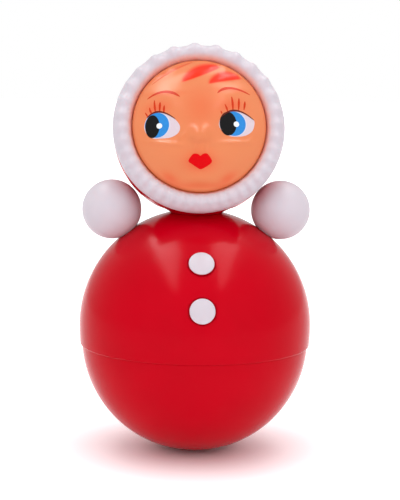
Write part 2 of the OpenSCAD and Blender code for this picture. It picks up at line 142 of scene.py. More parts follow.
# Polystyrene from a polished mould: an even deep red with faint flow mottle under a clear gloss,
# softened a little by handling. Its IOR is matched to the weak mirror that the toy shows.
RED = linear("d2001b")
RED_DEEP = linear("c40017")
MOTTLE = 22 * MM
HANDLING = 6 * MM
PEEL = 1.6 * MM
PEEL_DEPTH = 0.05 * MM
RED_GLOSS = (0.12, 0.2)
RED_IOR = 1.13
red_polystyrene, tree, shader, place = new_finish("red_polystyrene_polished", {"IOR": RED_IOR})
mottle = add_node(tree, "ShaderNodeTexNoise", {"Vector": place, "Scale": 1 / MOTTLE, "Detail": 3.0})
red_mix = add_node(
    tree, "ShaderNodeMix", {"Factor": mottle.outputs["Fac"], "A": RED_DEEP, "B": RED}, data_type="RGBA"
)
tree.links.new(red_mix.outputs["Result"], shader.inputs["Base Color"])
handling = add_node(tree, "ShaderNodeTexNoise", {"Vector": place, "Scale": 1 / HANDLING, "Detail": 4.0})
gloss = add_node(
    tree,
    "ShaderNodeMapRange",
    {"Value": handling.outputs["Fac"], "To Min": RED_GLOSS[0], "To Max": RED_GLOSS[1]},
)
tree.links.new(gloss.outputs["Result"], shader.inputs["Roughness"])
peel = add_node(tree, "ShaderNodeTexNoise", {"Vector": place, "Scale": 1 / PEEL, "Detail": 1.0})
peel_bump = add_node(
    tree, "ShaderNodeBump", {"Height": peel.outputs["Fac"], "Strength": 0.02, "Distance": PEEL_DEPTH}
)
tree.links.new(peel_bump.outputs["Normal"], shader.inputs["Normal"])

lower_r = size(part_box("lower_shell")[1].x)
lip_top = size(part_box("lower_shell")[1].z)
seam_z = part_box("upper_shell")[0].z
upper_r = size(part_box("upper_shell")[1].x)
WALL = 2.2 * MM
GATE_R = 3.5 * MM
GATE_DEPTH = 0.6 * MM
LIP_T = 1.6 * MM
LIP_GAP = 0.1 * MM
LIP_ROOT = 3 * MM
BOWL_STEPS = 72
INSIDE_STEPS = 48
ball_z = math.sqrt(lower_r**2 - GATE_R**2)
lip_r = upper_r - WALL - LIP_GAP
gate_angle = math.degrees(math.asin(GATE_R / lower_r))
shoulder_angle = math.degrees(math.asin((seam_z - EDGE - ball_z) / lower_r))
shoulder_r = lower_r * math.cos(math.radians(shoulder_angle))
root_z = seam_z - LIP_ROOT
root_angle = math.degrees(math.asin((root_z - ball_z) / (lower_r - WALL)))
bowl_section = [
    (0, GATE_DEPTH),
    (GATE_R - EDGE, GATE_DEPTH),
    (GATE_R - EDGE, EDGE),
    *arc((0, ball_z), lower_r, gate_angle - 90, shoulder_angle, BOWL_STEPS),
    (shoulder_r - EDGE, seam_z),
    (lip_r, seam_z),
    (lip_r, lip_top - EDGE),
    (lip_r - EDGE, lip_top),
    (lip_r - LIP_T, lip_top),
    (lip_r - LIP_T, root_z),
    *arc((0, ball_z), lower_r - WALL, root_angle, -90, INSIDE_STEPS),
]
lower_shell = turn_on_lathe("lower_shell_moulding", bowl_section)

BOSS_R = 4 * MM
BOSS_CIRCLE_R = 31 * MM
BOSS_BORE_R = 1.5 * MM
BOSS_COUNT = 4
BOSS_TURN = 22.5
BOSS_STEPS = 32
weight_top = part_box("counterweight")[1].z
boss_foot = ball_z - math.sqrt((lower_r - WALL / 2) ** 2 - (BOSS_CIRCLE_R + BOSS_R) ** 2)
boss_section = [
    (0, boss_foot),
    (BOSS_R, boss_foot),
    (BOSS_R, weight_top - EDGE),
    (BOSS_R - EDGE, weight_top),
    (BOSS_BORE_R, weight_top),
    (BOSS_BORE_R, boss_foot + WALL),
    (0, boss_foot + WALL),
]
for i in range(BOSS_COUNT):
    boss = turn_on_lathe("boss", boss_section, BOSS_STEPS)
    boss_angle = math.radians(BOSS_TURN + 360 * i / BOSS_COUNT)
    boss.location = (BOSS_CIRCLE_R * math.cos(boss_angle), BOSS_CIRCLE_R * math.sin(boss_angle), 0)
    bpy.ops.object.transform_apply()
    join_solid(lower_shell, boss, "UNION")
wear_finish(lower_shell, red_polystyrene)
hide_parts("lower_shell")
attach(lower_shell, "body")

# Counterweight
# A slug of grey cast iron in the bottom of the bowl, with a turned top. It keeps the toy upright.
# It is bored for the four bosses and for the chime rods, which are pressed into it.
def mottle_finish(tree, shader, place, grain, detail, colours, gloss):
    """One soft mottle swings a finish between two colours and two levels of gloss."""
    patches = {"Vector": place, "Scale": 1 / grain, "Detail": detail}
    share = add_node(tree, "ShaderNodeTexNoise", patches).outputs["Fac"]
    shades = {"Factor": share, "A": colours[0], "B": colours[1]}
    mix = add_node(tree, "ShaderNodeMix", shades, data_type="RGBA")
    tree.links.new(mix.outputs["Result"], shader.inputs["Base Color"])
    levels = {"Value": share, "To Min": gloss[0], "To Max": gloss[1]}
    level = add_node(tree, "ShaderNodeMapRange", levels)
    tree.links.new(level.outputs["Result"], shader.inputs["Roughness"])
    return share


# Grey iron as cast: dark and dull, with the sandy grain of the mould.
IRON_COLOURS = (linear("2e2d2d"), linear("4a4a4c"))
IRON_GLOSS = (0.45, 0.75)
CAST_GRAIN = 1.2 * MM
CAST_DEPTH = 0.2 * MM
cast_iron, tree, shader, place = new_finish("cast_iron_grey", {"Metallic": 0.9})
grain = mottle_finish(tree, shader, place, CAST_GRAIN, 5.0, IRON_COLOURS, IRON_GLOSS)
grain_bump = add_node(
    tree, "ShaderNodeBump", {"Height": grain, "Strength": 0.4, "Distance": CAST_DEPTH}
)
tree.links.new(grain_bump.outputs["Normal"], shader.inputs["Normal"])
wear_finish(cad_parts["counterweight"], cast_iron)

# Chime frame
# A plate, four pillars and their spokes over the counterweight, moulded in natural polypropylene.
# Four screws hold it down, and its cheeks carry the pins of the hammers.

# Natural polypropylene: a milky ivory with faint flow marks and a dull sheen.
NATURAL_COLOURS = (linear("d6cfba"), linear("e6e0cf"))
NATURAL_GLOSS = (0.35, 0.5)
FLOW = 9 * MM
polypropylene, tree, shader, place = new_finish(
    "polypropylene_natural", {"Subsurface Weight": 0.15, "Subsurface Radius": (0.002, 0.002, 0.0015)}
)
mottle_finish(tree, shader, place, FLOW, 2.0, NATURAL_COLOURS, NATURAL_GLOSS)
wear_finish(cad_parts["chime_frame"], polypropylene)

# Screws, pins and clips
# Stock self-tapping screws, pivot pins and push-on clips of zinc-plated steel.
# The screws are driven in, and the pins and clips are pressed in or on.

# Zinc plate: a bluish grey with a fine spangle, bright but not a mirror.
STEEL_COLOURS = (linear("8d9096"), linear("b9bcc0"))
STEEL_GLOSS = (0.2, 0.38)
PLATING = 0.8 * MM
zinc_steel, tree, shader, place = new_finish("steel_zinc_plated", {"Metallic": 1.0})
mottle_finish(tree, shader, place, PLATING, 3.0, STEEL_COLOURS, STEEL_GLOSS)
for name in ("base_screws", "hammer_pins", "button_clips", "hand_screws"):
    wear_finish(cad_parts[name], zinc_steel)

# Chime rods
# Four rods of drawn spring steel, each a step longer than the last.
# They are pressed upright into the counterweight.

# Drawn steel: bright, with fine lines along the rod.
ROD_COLOURS = (linear("9b9da1"), linear("c6c8cb"))
ROD_GLOSS = (0.15, 0.3)
DRAWN_LINE = 0.3 * MM
DRAWN_LENGTH = 30 * MM
drawn_steel, tree, shader, place = new_finish("spring_steel_drawn", {"Metallic": 1.0})
stretch = (1 / DRAWN_LINE, 1 / DRAWN_LINE, 1 / DRAWN_LENGTH)
along = add_node(tree, "ShaderNodeMapping", {"Vector": place, "Scale": stretch})
mottle_finish(tree, shader, along.outputs["Vector"], 1.0, 2.0, ROD_COLOURS, ROD_GLOSS)

# Hammers
# Each is a polypropylene arm that hangs from its pin, with a turned brass bead pressed on its peg.
# The bead strikes the rod beside it when the toy rocks.

# Turned brass: warm yellow, browner and duller in patches where it has tarnished.
BRASS_COLOURS = (linear("a37c2e"), linear("c9a14a"))
BRASS_GLOSS = (0.18, 0.4)
TARNISH = 2.5 * MM
turned_brass, tree, shader, place = new_finish("brass_turned", {"Metallic": 1.0})
mottle_finish(tree, shader, place, TARNISH, 4.0, BRASS_COLOURS, BRASS_GLOSS)
CHIME_COUNT = 4
for i in range(1, CHIME_COUNT + 1):
    wear_finish(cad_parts[f"chime_rod_{i}"], drawn_steel)
    wear_finish(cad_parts[f"hammer_arm_{i}"], polypropylene)
    wear_finish(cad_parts[f"hammer_bead_{i}"], turned_brass)

# Upper shell
# The dome of the body, moulded like the bowl. Its rim stands proud over the seam, with a chamfer
# that catches light. A flat seat and a tube on its top carry the head, and holes take the stems
# of the buttons and the hand screws.
BAND_H = 9.6 * MM
RIM_CHAMFER = 0.45 * MM
RIM_DRAFT = 0.4 * MM
BAND_STEPS = 12
DOME_STEPS = 80
NECK_R = 13.3 * MM
TUBE_R = 9.5 * MM
TUBE_BORE_R = 7.5 * MM
tube_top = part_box("upper_shell")[1].z
dome_z = seam_z + BAND_H
rim_z = seam_z + RIM_CHAMFER
dome_inner_r = upper_r - WALL
neck_z = dome_z + math.sqrt(upper_r**2 - NECK_R**2)
seat_angle = math.degrees(math.acos(NECK_R / upper_r))
bore_angle = math.degrees(math.acos(TUBE_BORE_R / dome_inner_r))
rim_band = [
    (upper_r - RIM_DRAFT * (1 - i / BAND_STEPS) ** 2, rim_z + (dome_z - rim_z) * i / BAND_STEPS)
    for i in range(BAND_STEPS)
]
dome_section = [
    (dome_inner_r, seam_z),
    (upper_r - RIM_DRAFT - RIM_CHAMFER, seam_z),
    *rim_band,
    *arc((0, dome_z), upper_r, 0, seat_angle, DOME_STEPS),
    (TUBE_R, neck_z),
    (TUBE_R, tube_top - EDGE),
    (TUBE_R - EDGE, tube_top),
    (TUBE_BORE_R, tube_top),
    *arc((0, dome_z), dome_inner_r, bore_angle, 0, INSIDE_STEPS),
    (dome_inner_r, seam_z),
]
upper_shell = turn_on_lathe("upper_shell_moulding", dome_section)

STEM_HOLE_R = 2.3 * MM
SCREW_HOLE_R = 1.75 * MM
LOWER_BUTTON_ANGLE = 16
UPPER_BUTTON_ANGLE = 39.5
HAND_ANGLE = 54
HOLE_STEPS = 32


def drill(piece, radius, tilt):
    """Drills the dome along a line from the middle of its ball, turned down from the vertical."""
    bpy.ops.object.select_all(action="DESELECT")
    bpy.ops.mesh.primitive_cylinder_add(
        vertices=HOLE_STEPS, radius=radius, depth=4 * WALL, location=(0, 0, upper_r)
    )
    drill_bit = bpy.context.object
    bpy.ops.object.transform_apply()
    drill_bit.rotation_euler = tilt
    drill_bit.location.z = dome_z
    bpy.ops.object.transform_apply()
    join_solid(piece, drill_bit, "DIFFERENCE")


for angle in (LOWER_BUTTON_ANGLE, UPPER_BUTTON_ANGLE):
    drill(upper_shell, STEM_HOLE_R, (math.radians(90 - angle), 0, 0))
for side in (-1, 1):
    drill(upper_shell, SCREW_HOLE_R, (0, side * math.radians(90 - HAND_ANGLE), 0))
wear_finish(upper_shell, red_polystyrene)
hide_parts("upper_shell")
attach(upper_shell, "body")

# Buttons
# Two domed buttons of white polyethylene, each pushed through the dome by its stem and held by
# a clip inside. The crown runs out in a small rounded edge over a groove in the dome, so a dark
# hairline shows round it.
BUTTON_R = 6.1 * MM
BUTTON_H = 2.1 * MM
CROWN_R = 16 * MM
BUTTON_EDGE = 0.5 * MM
FOOT_IN = 0.6 * MM
FOOT_H = 0.4 * MM
STEM_R = 2 * MM
STEM_L = 2.4 * MM
SEAT_GAP = 0.1 * MM

# Polyethylene from a matt mould: a cool lilac white, waxy, with a wide soft gloss and a little
# light passing through its surface. Its IOR is matched to the weak mirror that the toy shows.
WHITE_COLOURS = (linear("dacfd8"), linear("e3dae2"))
WHITE_GLOSS = (0.38, 0.48)
WHITE_IOR = 1.14
WAX = 14 * MM
white_polyethylene, tree, shader, place = new_finish(
    "polyethylene_white_waxy",
    {"Subsurface Weight": 0.5, "Subsurface Radius": (0.006, 0.004, 0.004), "IOR": WHITE_IOR},
)
mottle_finish(tree, shader, place, WAX, 2.0, WHITE_COLOURS, WHITE_GLOSS)

GROOVE_W = 0.5 * MM
GROOVE_DEPTH = 1.2 * MM
BUTTON_STEPS = 96
groove_in = BUTTON_R - FOOT_IN + EDGE / 2
groove_section = [
    (groove_in, upper_r - GROOVE_DEPTH),
    (BUTTON_R + GROOVE_W, upper_r - GROOVE_DEPTH),
    (BUTTON_R + GROOVE_W, upper_r + BUTTON_H),
    (groove_in, upper_r + BUTTON_H),
    (groove_in, upper_r - GROOVE_DEPTH),
]
for angle in (LOWER_BUTTON_ANGLE, UPPER_BUTTON_ANGLE):
    groove = turn_on_lathe("groove", groove_section, BUTTON_STEPS)
    groove.rotation_euler.x = math.radians(90 - angle)
    groove.location.z = dome_z
    bpy.ops.object.transform_apply()
    join_solid(upper_shell, groove, "DIFFERENCE")

crown_z = upper_r + BUTTON_H - CROWN_R
round_r = BUTTON_R - BUTTON_EDGE
round_z = crown_z + math.sqrt((CROWN_R - BUTTON_EDGE) ** 2 - round_r**2)
crown_angle = math.degrees(math.acos(round_r / (CROWN_R - BUTTON_EDGE)))
seat_r = upper_r + SEAT_GAP
foot_r = BUTTON_R - FOOT_IN
foot_angle = math.degrees(math.acos(foot_r / seat_r))
edge_z = math.sqrt(seat_r**2 - BUTTON_R**2) + FOOT_H
stem_angle = math.degrees(math.acos(STEM_R / seat_r))
button_section = [
    (0, dome_inner_r - STEM_L),
    (STEM_R - EDGE, dome_inner_r - STEM_L),
    (STEM_R, dome_inner_r - STEM_L + EDGE),
    *arc((0, 0), seat_r, stem_angle, foot_angle, 6),
    (foot_r, edge_z),
    (BUTTON_R - EDGE / 2, edge_z),
    (BUTTON_R, edge_z + EDGE / 2),
    *arc((round_r, round_z), BUTTON_EDGE, 0, crown_angle, 8),
    *arc((0, crown_z), CROWN_R, crown_angle, 90, 20)[1:],
]
for name, angle in (("lower_button", LOWER_BUTTON_ANGLE), ("upper_button", UPPER_BUTTON_ANGLE)):
    button = turn_on_lathe(f"{name}_cap", button_section, BUTTON_STEPS)
    button.rotation_euler.x = math.radians(90 - angle)
    button.location.z = dome_z
    bpy.ops.object.transform_apply()
    wear_finish(button, white_polyethylene)
    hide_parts(name)
    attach(button, "body")

# Hands
# Two balls of the same white polyethylene, dished where they sit on the dome.
# A screw from inside the dome holds each.
hand_low, hand_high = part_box("left_hand")
hand_r = size((hand_high.y - hand_low.y) / 2)
hand_reach = math.hypot(hand_high.x - hand_r, hand_high.z - hand_r - dome_z)
HAND_BORE_R = 1.47 * MM
HAND_BORE_L = 8.2 * MM
HAND_STEPS = 144
BALL_STEPS = 72
dish_z = (seat_r**2 + hand_reach**2 - hand_r**2) / (2 * hand_reach)
dish_angle = math.degrees(math.asin(dish_z / seat_r))
ball_angle = math.degrees(math.asin((dish_z - hand_reach) / hand_r))
bore_start_angle = math.degrees(math.acos(HAND_BORE_R / seat_r))
hand_section = [
    (0, upper_r + HAND_BORE_L),
    (HAND_BORE_R, upper_r + HAND_BORE_L),
    *arc((0, 0), seat_r, bore_start_angle, dish_angle, 8),
    *arc((0, hand_reach), hand_r, ball_angle + 1, 90, BALL_STEPS),
]
for name, side in (("left_hand", 1), ("right_hand", -1)):
    hand = turn_on_lathe(f"{name}_ball", hand_section, HAND_STEPS)
    hand.rotation_euler.y = side * math.radians(90 - HAND_ANGLE)
    hand.location.z = dome_z
    bpy.ops.object.transform_apply()
    wear_finish(hand, white_polyethylene)
    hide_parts(name)
    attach(hand, "body")

# Neck clip
# A ring of natural polypropylene, pressed on the tube of the dome.
# It keeps the head on and lets it turn.
wear_finish(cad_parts["neck_clip"], polypropylene)

# Hood back
# The red round back of the head, moulded like the body, with a flared neck that turns on the
# seat of the dome. It is open in front, where the trim plugs into it.
hood_r = size(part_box("hood_back")[1].x)
hood_floor_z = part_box("hood_back")[0].z
head_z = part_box("hood_back")[1].z - hood_r
HOOD_WALL = 2.2 * MM
HOOD_FLOOR_T = 2.7 * MM
HOOD_REACH = 9 * MM
NECK_H = 3.6 * MM
FLARE_R = 20.6 * MM
HOOD_BORE_R = 9.56 * MM
CLIP_ROOM_R = 12.82 * MM
HEAD_TILT = 15
flare_angle = -math.degrees(math.acos(FLARE_R / hood_r))
floor_top = hood_floor_z + HOOD_FLOOR_T
hood_inner_r = hood_r - HOOD_WALL
room_angle = -math.degrees(math.acos(CLIP_ROOM_R / hood_inner_r))
FLARE_STEPS = 10
FLARE_CURVE = 1.25
HOOD_STEPS = 96
HOOD_INSIDE_STEPS = 72
CUT_STEPS = 64
flare = [
    (
        NECK_R + (FLARE_R - NECK_R) * (i / FLARE_STEPS) ** FLARE_CURVE,
        hood_floor_z + EDGE + (NECK_H - EDGE) * i / FLARE_STEPS,
    )
    for i in range(FLARE_STEPS)
]
hood_section = [
    (HOOD_BORE_R, floor_top),
    (HOOD_BORE_R, hood_floor_z),
    (NECK_R - EDGE, hood_floor_z),
    *flare,
    *arc((0, head_z), hood_r, flare_angle, 90, HOOD_STEPS),
    *arc((0, head_z), hood_inner_r, 90, room_angle, HOOD_INSIDE_STEPS),
    (CLIP_ROOM_R, floor_top),
    (HOOD_BORE_R, floor_top),
]
hood_back = turn_on_lathe("hood_back_moulding", hood_section)
bpy.ops.object.select_all(action="DESELECT")
bpy.ops.mesh.primitive_cylinder_add(
    vertices=CUT_STEPS, radius=2 * hood_r, depth=2 * hood_r, location=(0, 0, HOOD_REACH + hood_r)
)
front_cut = bpy.context.object


def set_in_head(piece):
    """Moves a piece from the axis of the face, which is its own Z, to its place in the leaning head."""
    bpy.ops.object.select_all(action="DESELECT")
    piece.select_set(True)
    bpy.context.view_layer.objects.active = piece
    bpy.ops.object.transform_apply()
    piece.rotation_euler.x = math.radians(90 - HEAD_TILT)
    piece.location.z = head_z
    bpy.ops.object.transform_apply()


set_in_head(front_cut)
join_solid(hood_back, front_cut, "DIFFERENCE")
wear_finish(hood_back, red_polystyrene)
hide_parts("hood_back")
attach(hood_back, "head")

# Hood trim
# The white fluted ring round the face, moulded in polyethylene to look like the fur edge of a hood.
# Its spigot plugs into the hood and its lip traps the flange of the face. A peach tint on the lip
# is a painted glow of light bounced from the face, reaching furthest in at the top.
TRIM_PROUD = 0.5 * MM
TRIM_W = 9.3 * MM
TRIM_CREST = 19.6 * MM
SPIGOT_T = 2.3 * MM
SPIGOT_L = 1.5 * MM
FLUTES = 36
FLUTE_SEAT = 0.8 * MM
FLUTE_DEPTH = 2.0 * MM
FLUTE_STEPS = 12
FLUTE_SPREAD = 0.355
FLUTE_ONSET = 14
FLUTE_ONSET_TOP = -24
FLUTE_SPAN = 45
FLUTE_PHASE = 1.9
FLUTE_LOW = 0.55
ROUND_MISS = 0.02
LIP_ANGLE = 160
FACE_GAP = 0.4 * MM
FLANGE_W = 3 * MM
FLANGE_T = 1.8 * MM
trim_r = hood_r + TRIM_PROUD
opening_r = trim_r - TRIM_W
crest_r = (trim_r + opening_r) / 2
trim_wide_z = HOOD_REACH + FLUTE_SEAT + SPIGOT_L
trim_rise = TRIM_CREST - trim_wide_z
trim_out = trim_r - crest_r
trim_in = (crest_r - opening_r) / -math.cos(math.radians(LIP_ANGLE))
trim_back_angle = -math.degrees(math.asin((trim_wide_z - HOOD_REACH) / trim_rise))
lip_front = trim_wide_z + trim_rise * math.sin(math.radians(LIP_ANGLE))
face_r = opening_r - FACE_GAP
flange_r = face_r + FLANGE_W
flange_top = lip_front - FACE_GAP
flange_back = flange_top - FLANGE_T
spigot_r = math.sqrt(hood_inner_r**2 - HOOD_REACH**2) - SEAT_GAP
TRIM_ROUND_STEPS = 40
round_angles = [
    trim_back_angle + (LIP_ANGLE - trim_back_angle) * i / TRIM_ROUND_STEPS
    for i in range(TRIM_ROUND_STEPS + 1)
]
trim_round = [
    (
        crest_r + (trim_in if a > 90 else trim_out) * math.cos(math.radians(a)),
        trim_wide_z + trim_rise * math.sin(math.radians(a)),
    )
    for a in round_angles
]
trim_section = [
    *trim_round,
    (opening_r, flange_top),
    (flange_r + SEAT_GAP, flange_top),
    (flange_r + SEAT_GAP, flange_back - SEAT_GAP),
    (spigot_r - SPIGOT_T, flange_back - SEAT_GAP),
    (spigot_r - SPIGOT_T, HOOD_REACH - SPIGOT_L),
    (spigot_r, HOOD_REACH - SPIGOT_L),
    (spigot_r, HOOD_REACH),
    trim_round[0],
]
hood_trim = turn_on_lathe("hood_trim_ring", trim_section, FLUTES * FLUTE_STEPS)


def step_up(value):
    """A smooth step from nought to one."""
    value = min(1.0, max(0.0, value))
    return value * value * (3 - 2 * value)


# Painted glow: how far in from the lip the peach tint of light bounced from the face reaches, furthest
# at the top.
FACE_BOUNCE_W = 3.0 * MM
FACE_BOUNCE_SIDE = 0.75
painted_bounce = hood_trim.data.attributes.new("painted_face_bounce", "FLOAT", "POINT")
for vertex in hood_trim.data.vertices:
    r = math.hypot(vertex.co.x, vertex.co.y)
    lift = (vertex.co.z - trim_wide_z) / trim_rise
    reach = (r - crest_r) / (trim_in if r < crest_r else trim_out)
    bounce_reach = FACE_BOUNCE_W * (FACE_BOUNCE_SIDE + (1 - FACE_BOUNCE_SIDE) * vertex.co.y / r)
    painted_bounce.data[vertex.index].value = step_up(1 - (r - opening_r) / bounce_reach)
    inside = vertex.co.z < HOOD_REACH - EDGE or r < opening_r + EDGE
    if inside or abs(math.hypot(reach, lift) - 1) > ROUND_MISS:
        continue
    from_top = math.atan2(vertex.co.x, vertex.co.y)
    top_share = max(0.0, math.cos(from_top))
    round_angle = math.degrees(math.atan2(lift, reach))
    onset = FLUTE_ONSET + (FLUTE_ONSET_TOP - FLUTE_ONSET) * top_share
    start_share = step_up((round_angle - onset) / FLUTE_SPAN)
    end_share = min(1.0, (LIP_ANGLE - round_angle) / (LIP_ANGLE - 90))
    spread_turn = from_top - FLUTE_SPREAD * math.sin(from_top)
    wave = 0.5 + 0.5 * math.cos(FLUTES * spread_turn - FLUTE_PHASE)
    depth = FLUTE_DEPTH * (FLUTE_LOW + (1 - FLUTE_LOW) * top_share)
    dip = depth * start_share * end_share * wave
    across = Vector((vertex.co.x, vertex.co.y, 0)).normalized()
    vertex.co -= dip * (reach * across + Vector((0, 0, lift)))
set_in_head(hood_trim)

# The same waxy polyethylene, with a peach tint painted on the lip as a glow of light bounced from the
# face.
PAINTED_BOUNCE_COLOUR = linear("ffa585")
PAINTED_BOUNCE_STRENGTH = 0.65
bounce_painted_polyethylene = white_polyethylene.copy()
bounce_painted_polyethylene.name = "polyethylene_white_painted_bounce"
tree = bounce_painted_polyethylene.node_tree
shader = tree.nodes["Principled BSDF"]
painted_bounce_mask = add_node(tree, "ShaderNodeAttribute", {}, attribute_name="painted_face_bounce")
painted_bounce_share = add_node(
    tree, "ShaderNodeMapRange", {"Value": painted_bounce_mask.outputs["Fac"], "To Max": PAINTED_BOUNCE_STRENGTH}
)
painted_bounce_mix = add_node(
    tree,
    "ShaderNodeMix",
    {
        "Factor": painted_bounce_share.outputs["Result"],
        "A": shader.inputs["Base Color"].links[0].from_socket,
        "B": PAINTED_BOUNCE_COLOUR,
    },
    data_type="RGBA",
)
tree.links.new(painted_bounce_mix.outputs["Result"], shader.inputs["Base Color"])
wear_finish(hood_trim, bounce_painted_polyethylene)
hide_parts("hood_trim")
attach(hood_trim, "head")

# Face
# A mask of peach vinyl with a moulded nose, cheeks, lids and locks of hair, held by its flange
# behind the trim. The locks and a flush round the lashes and lips are airbrushed on it, and a
# deeper tone on the forehead and chin is painted reflection and shade.
FACE_BULGE = 11.5 * MM
FACE_WALL = 2 * MM
FACE_EDGE_H = 3.4 * MM
FACE_ROLL = 1.2 * MM
FACE_STEPS = 360
FACE_RINGS = 110
RELIEF_FADE = 10
face_edge = flange_top + FACE_EDGE_H
face_curve_r = (face_r**2 + FACE_BULGE**2) / (2 * FACE_BULGE)

# The relief in millimetres: across, up, half length, half width and rise, then its turn in degrees
RELIEF = (
    (-0.4, -6.6, 5.0, 3.8, 2.7, 0),
    (-0.4, -3.2, 3.4, 1.3, 0.35, 0),
    (-3.4, -8.3, 2.0, 1.75, 0.6, 0),
    (2.6, -8.3, 2.0, 1.75, 0.6, 0),
    (-0.4, -11.0, 3.6, 1.1, -0.55, 0),
    (-3.2, -13.2, 0.8, 2.4, 0.35, 0),
    (2.7, -13.2, 0.8, 2.4, 0.35, 0),
    (-18.3, -1.4, 8.8, 6.5, -1.63, 0),
    (17.5, -0.6, 8.8, 6.5, -1.63, 0),
    (-18.6, -1.7, 6.4, 4.6, 0.9, 0),
    (17.6, -0.8, 6.4, 4.6, 0.9, 0),
    (-17.4, -10.6, 8.6, 1.2, 1.05, -8),
    (-9.2, -7.6, 2.8, 1.0, 0.6, 50),
    (17.4, -9.9, 8.6, 1.2, 1.05, 4),
    (24.6, -7.6, 2.8, 1.0, 0.5, 40),
    (-13.8, -16.2, 8.5, 6.6, 1.2, 0),
    (13.8, -16.2, 8.5, 6.6, 1.2, 0),
    (-17.6, 13.8, 9.1, 3.3, 0.65, 0),
    (17.0, 15.3, 9.1, 3.3, 0.65, 0),
    (-0.3, -19.3, 6.2, 3.9, 1.14, 0),
    (0, -27.4, 7.8, 2.9, 1.2, 0),
    (0.6, 25.6, 9.1, 2.8, 1.14, 24),
    (12.1, 23.3, 8.5, 2.8, 1.14, 12),
    (-13.6, 26.1, 9.8, 2.2, 0.91, 26),
)


def bump_share(x, y, bump):
    """How far a soft oval bump of the face is up at a place, from nought to one, in millimetres."""
    turn = math.radians(bump[5])
    along = ((x - bump[0]) * math.cos(turn) + (y - bump[1]) * math.sin(turn)) / bump[2]
    aside = ((y - bump[1]) * math.cos(turn) - (x - bump[0]) * math.sin(turn)) / bump[3]
    return math.exp(-along * along - aside * aside)


def face_front(x, y):
    """Height of the front of the face at a place, along its axis from the middle of the head."""
    r = min(math.hypot(x, y), face_r)
    cap = math.sqrt(face_curve_r**2 - r**2) - face_curve_r + FACE_BULGE
    past = max(0.0, r - face_r + FACE_ROLL)
    drop = FACE_ROLL - math.sqrt(max(0.0, FACE_ROLL**2 - past**2))
    rise = sum(bump[4] * bump_share(x / MM, y / MM, bump) for bump in RELIEF) * MM
    return face_edge + cap - drop + rise * (1 - (r / face_r) ** RELIEF_FADE)


def cap_height(r):
    """Height of the plain back of the face."""
    return face_edge + math.sqrt(face_curve_r**2 - r**2) - face_curve_r + FACE_BULGE - FACE_WALL


back_r = face_r - FACE_WALL
BACK_RINGS = 24
back_radii = [back_r * i / BACK_RINGS for i in range(BACK_RINGS, -1, -1)]
face_section = [
    *[(face_r * i / FACE_RINGS, face_edge + FACE_BULGE) for i in range(FACE_RINGS + 1)],
    (face_r, flange_top - SEAT_GAP),
    (flange_r, flange_top - SEAT_GAP),
    (flange_r, flange_back),
    (back_r, flange_back),
    *[(r, cap_height(r)) for r in back_radii],
]
face = turn_on_lathe("face_mask_vinyl", face_section, FACE_STEPS)
front_points = [v for v in face.data.vertices if abs(v.co.z - face_edge - FACE_BULGE) < EDGE / 4]
for vertex in front_points:
    vertex.co.z = face_front(vertex.co.x, vertex.co.y)
face.data.update()

# Airbrushed locks, in millimetres: start, end, and how far the lower and upper edges bow
LOCKS = (
    ((-10.0, 19.4), (11.4, 29.2), -1.0, 5.0),
    ((3.0, 18.6), (21.6, 23.0), -0.1, 5.4),
)
LOCK_CRISP = 1.1
LOCK_SOFT = 3.0
LOCK_TIP = 0.12
LOCK_TAIL = 0.15


def lock_paint(x, y):
    """How much hair paint there is at a place of the face, in millimetres."""
    most = 0.0
    for start, end, low_bow, high_bow in LOCKS:
        line = Vector(end) - Vector(start)
        off = Vector((x, y)) - Vector(start)
        along = off.dot(line) / line.length_squared
        aside = (off.y * line.x - off.x * line.y) / line.length
        if 0 < along < 1:
            bow = 4 * along * (1 - along)
            low = step_up((aside - low_bow * bow) / LOCK_CRISP + 0.5)
            high = step_up((high_bow * bow - aside) / LOCK_SOFT + 0.5)
            ends = step_up(along / LOCK_TIP) * step_up((1 - along) / LOCK_TAIL)
            most = max(most, low * high * ends)
    return most


# The flush and painted shade, as soft ovals: across, up, half length, half width, strength, turn
FLUSH_AND_PAINTED_SHADE = (
    (-20.9, 7.0, 6.0, 3.4, 0.6, 8),
    (15.4, 8.3, 6.5, 3.6, 0.55, 0),
    (-0.4, -19.2, 6.8, 4.2, 0.95, 0),
    # Painted dark reflection: a deeper tone on the middle of the forehead.
    (0, 7.0, 9.0, 10.0, 0.4, 0),
    # Painted reflection and shade: the next three rows, a deeper, redder tone low on the chin and in
    # its crease.
    (-14.5, -26.6, 4.6, 2.2, 0.6, -30),
    (13.5, -26.5, 4.6, 2.2, 0.6, 30),
    (0, -30.0, 14.0, 1.6, 0.45, 0),
    (-17.0, 14.2, 8.4, 1.2, 0.4, 0),
    (15.6, 16.2, 8.4, 1.2, 0.4, 0),
    (-13.6, 26.5, 10.5, 0.9, 0.75, 27),
)
hair_paint = face.data.attributes.new("hair_paint", "FLOAT", "POINT")
flush_and_shade_paint = face.data.attributes.new("flush_and_shade_paint", "FLOAT", "POINT")
for vertex in front_points:
    x, y = vertex.co.x / MM, vertex.co.y / MM
    hair_paint.data[vertex.index].value = lock_paint(x, y)
    flush_and_shade_paint.data[vertex.index].value = min(1.0, sum(f[4] * bump_share(x, y, f) for f in FLUSH_AND_PAINTED_SHADE))

